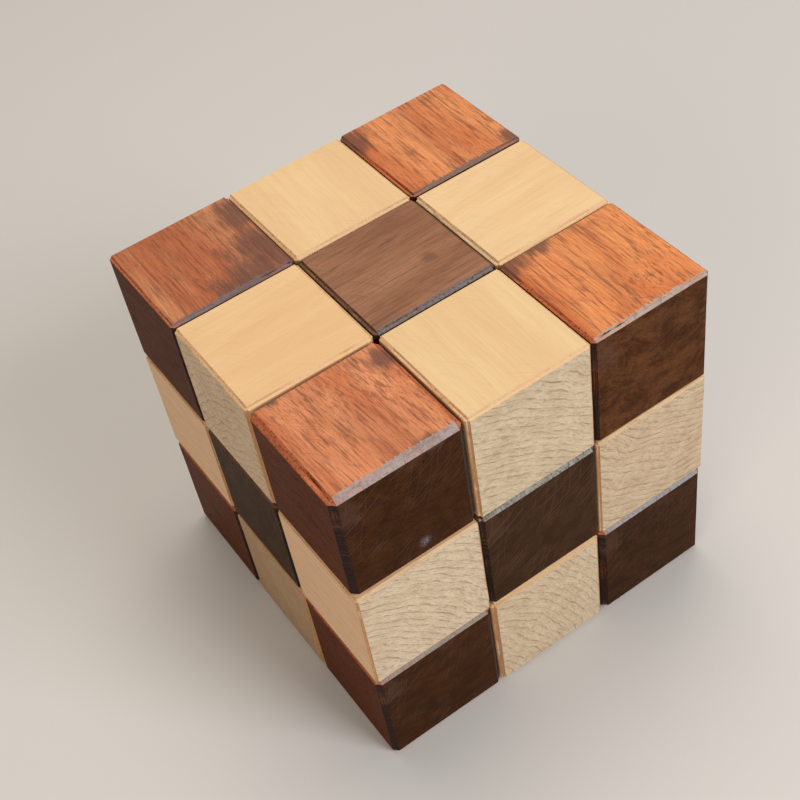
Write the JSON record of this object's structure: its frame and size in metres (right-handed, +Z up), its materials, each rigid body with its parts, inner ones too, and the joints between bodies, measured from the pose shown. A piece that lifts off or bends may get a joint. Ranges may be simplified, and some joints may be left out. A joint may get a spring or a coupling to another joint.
{
  "type": "snake cube puzzle",
  "caption": "Wooden snake cube puzzle, folded up: dark and pale bevelled cubelets strung in turn on one elastic cord, solved into a checkered cube.",
  "frame": {"origin": "centre of the cube's bottom face, on the surface it stands on", "axes": "+Z up through the three layers; +X and +Y along the cubelets' edges; the pictured right-front face is -Y and the left-front face is -X"},
  "size_m": [0.0598, 0.0598, 0.0598],
  "materials": {
    "red_hardwood": "oiled red-brown hardwood, semi-gloss, worn bevels",
    "walnut": "oiled dark walnut, semi-gloss",
    "maple": "pale fine-grained hardwood, satin",
    "peg_wood": "end-grain dowel, sanded flush",
    "elastic_cord": "black braided textile over rubber strands"
  },
  "bodies": {
    "cubelet_01": {"cubelet_01": "red_hardwood", "elastic_01": "elastic_cord", "knot_start": "elastic_cord", "peg_start": "peg_wood"},
    "cubelet_02": {"cubelet_02": "maple", "elastic_02": "elastic_cord"},
    "cubelet_03": {"cubelet_03": "red_hardwood", "elastic_03": "elastic_cord"},
    "cubelet_04": {"cubelet_04": "maple", "elastic_04": "elastic_cord"},
    "cubelet_05": {"cubelet_05": "walnut", "elastic_05": "elastic_cord"},
    "cubelet_06": {"cubelet_06": "maple", "elastic_06": "elastic_cord"},
    "cubelet_07": {"cubelet_07": "red_hardwood", "elastic_07": "elastic_cord"},
    "cubelet_08": {"cubelet_08": "maple", "elastic_08": "elastic_cord"},
    "cubelet_09": {"cubelet_09": "red_hardwood", "elastic_09": "elastic_cord"},
    "cord_link_09_10": {"elastic_10": "elastic_cord"},
    "cubelet_10": {"cubelet_10": "maple"},
    "cubelet_11": {"cubelet_11": "walnut", "elastic_11": "elastic_cord"},
    "cubelet_12": {"cubelet_12": "maple", "elastic_12": "elastic_cord"},
    "cubelet_13": {"cubelet_13": "walnut", "elastic_13": "elastic_cord"},
    "cubelet_14": {"cubelet_14": "maple", "elastic_14": "elastic_cord"},
    "cubelet_15": {"cubelet_15": "walnut", "elastic_15": "elastic_cord"},
    "cubelet_16": {"cubelet_16": "maple", "elastic_16": "elastic_cord"},
    "cubelet_17": {"cubelet_17": "walnut", "elastic_17": "elastic_cord"},
    "cubelet_18": {"cubelet_18": "maple", "elastic_18": "elastic_cord"},
    "cord_link_18_19": {"elastic_19": "elastic_cord"},
    "cubelet_19": {"cubelet_19": "red_hardwood"},
    "cubelet_20": {"cubelet_20": "maple", "elastic_20": "elastic_cord"},
    "cubelet_21": {"cubelet_21": "red_hardwood", "elastic_21": "elastic_cord"},
    "cubelet_22": {"cubelet_22": "maple", "elastic_22": "elastic_cord"},
    "cubelet_23": {"cubelet_23": "walnut", "elastic_23": "elastic_cord"},
    "cubelet_24": {"cubelet_24": "maple", "elastic_24": "elastic_cord"},
    "cubelet_25": {"cubelet_25": "red_hardwood", "elastic_25": "elastic_cord"},
    "cubelet_26": {"cubelet_26": "maple", "elastic_26": "elastic_cord"},
    "cubelet_27": {"cubelet_27": "red_hardwood", "elastic_27": "elastic_cord", "knot_end": "elastic_cord", "peg_end": "peg_wood"}
  },
  "joints": [
    {"name": "stretch_01_02", "type": "slide", "parent": "cubelet_02", "child": "cubelet_01", "axis": [1, 0, 0], "range_m": [0, 0.006], "stiffness_N_per_m": 40, "springref_m": -0.05},
    {"name": "stretch_02_03", "type": "slide", "parent": "cubelet_03", "child": "cubelet_02", "axis": [1, 0, 0], "range_m": [0, 0.006], "stiffness_N_per_m": 40, "springref_m": -0.05},
    {"name": "stretch_03_04", "type": "slide", "parent": "cubelet_04", "child": "cubelet_03", "axis": [0, -1, 0], "range_m": [0, 0.006], "stiffness_N_per_m": 40, "springref_m": -0.05},
    {"name": "stretch_04_05", "type": "slide", "parent": "cubelet_05", "child": "cubelet_04", "axis": [-1, 0, 0], "range_m": [0, 0.006], "stiffness_N_per_m": 40, "springref_m": -0.05},
    {"name": "stretch_05_06", "type": "slide", "parent": "cubelet_05", "child": "cubelet_06", "axis": [1, 0, 0], "range_m": [0, 0.006], "stiffness_N_per_m": 40, "springref_m": -0.05},
    {"name": "stretch_06_07", "type": "slide", "parent": "cubelet_06", "child": "cubelet_07", "axis": [0, 1, 0], "range_m": [0, 0.006], "stiffness_N_per_m": 40, "springref_m": -0.05},
    {"name": "stretch_07_08", "type": "slide", "parent": "cubelet_07", "child": "cubelet_08", "axis": [-1, 0, 0], "range_m": [0, 0.006], "stiffness_N_per_m": 40, "springref_m": -0.05},
    {"name": "stretch_08_09", "type": "slide", "parent": "cubelet_08", "child": "cubelet_09", "axis": [-1, 0, 0], "range_m": [0, 0.006], "stiffness_N_per_m": 40, "springref_m": -0.05},
    {"name": "stretch_09_10", "type": "slide", "parent": "cubelet_09", "child": "cord_link_09_10", "axis": [0, 0, 1], "range_m": [0, 0.006], "stiffness_N_per_m": 40, "springref_m": -0.05},
    {"name": "swivel_09_10", "type": "hinge", "parent": "cord_link_09_10", "child": "cubelet_10", "pos_m": [-0.02, 0.02, 0.0299], "axis": [0, 0, 1], "continuous": true},
    {"name": "stretch_10_11", "type": "slide", "parent": "cubelet_10", "child": "cubelet_11", "axis": [0, -1, 0], "range_m": [0, 0.006], "stiffness_N_per_m": 40, "springref_m": -0.05},
    {"name": "stretch_11_12", "type": "slide", "parent": "cubelet_11", "child": "cubelet_12", "axis": [0, -1, 0], "range_m": [0, 0.006], "stiffness_N_per_m": 40, "springref_m": -0.05},
    {"name": "stretch_12_13", "type": "slide", "parent": "cubelet_12", "child": "cubelet_13", "axis": [1, 0, 0], "range_m": [0, 0.006], "stiffness_N_per_m": 40, "springref_m": -0.05},
    {"name": "stretch_13_14", "type": "slide", "parent": "cubelet_13", "child": "cubelet_14", "axis": [0, 1, 0], "range_m": [0, 0.006], "stiffness_N_per_m": 40, "springref_m": -0.05},
    {"name": "stretch_14_15", "type": "slide", "parent": "cubelet_14", "child": "cubelet_15", "axis": [0, 1, 0], "range_m": [0, 0.006], "stiffness_N_per_m": 40, "springref_m": -0.05},
    {"name": "stretch_15_16", "type": "slide", "parent": "cubelet_15", "child": "cubelet_16", "axis": [1, 0, 0], "range_m": [0, 0.006], "stiffness_N_per_m": 40, "springref_m": -0.05},
    {"name": "stretch_16_17", "type": "slide", "parent": "cubelet_16", "child": "cubelet_17", "axis": [0, -1, 0], "range_m": [0, 0.006], "stiffness_N_per_m": 40, "springref_m": -0.05},
    {"name": "stretch_17_18", "type": "slide", "parent": "cubelet_17", "child": "cubelet_18", "axis": [0, -1, 0], "range_m": [0, 0.006], "stiffness_N_per_m": 40, "springref_m": -0.05},
    {"name": "stretch_18_19", "type": "slide", "parent": "cubelet_18", "child": "cord_link_18_19", "axis": [0, 0, 1], "range_m": [0, 0.006], "stiffness_N_per_m": 40, "springref_m": -0.05},
    {"name": "swivel_18_19", "type": "hinge", "parent": "cord_link_18_19", "child": "cubelet_19", "pos_m": [0.02, -0.02, 0.0499], "axis": [0, 0, 1], "continuous": true},
    {"name": "stretch_19_20", "type": "slide", "parent": "cubelet_19", "child": "cubelet_20", "axis": [0, 1, 0], "range_m": [0, 0.006], "stiffness_N_per_m": 40, "springref_m": -0.05},
    {"name": "stretch_20_21", "type": "slide", "parent": "cubelet_20", "child": "cubelet_21", "axis": [0, 1, 0], "range_m": [0, 0.006], "stiffness_N_per_m": 40, "springref_m": -0.05},
    {"name": "stretch_21_22", "type": "slide", "parent": "cubelet_21", "child": "cubelet_22", "axis": [-1, 0, 0], "range_m": [0, 0.006], "stiffness_N_per_m": 40, "springref_m": -0.05},
    {"name": "stretch_22_23", "type": "slide", "parent": "cubelet_22", "child": "cubelet_23", "axis": [0, -1, 0], "range_m": [0, 0.006], "stiffness_N_per_m": 40, "springref_m": -0.05},
    {"name": "stretch_23_24", "type": "slide", "parent": "cubelet_23", "child": "cubelet_24", "axis": [0, -1, 0], "range_m": [0, 0.006], "stiffness_N_per_m": 40, "springref_m": -0.05},
    {"name": "stretch_24_25", "type": "slide", "parent": "cubelet_24", "child": "cubelet_25", "axis": [-1, 0, 0], "range_m": [0, 0.006], "stiffness_N_per_m": 40, "springref_m": -0.05},
    {"name": "stretch_25_26", "type": "slide", "parent": "cubelet_25", "child": "cubelet_26", "axis": [0, 1, 0], "range_m": [0, 0.006], "stiffness_N_per_m": 40, "springref_m": -0.05},
    {"name": "stretch_26_27", "type": "slide", "parent": "cubelet_26", "child": "cubelet_27", "axis": [0, 1, 0], "range_m": [0, 0.006], "stiffness_N_per_m": 40, "springref_m": -0.05}
  ]
}
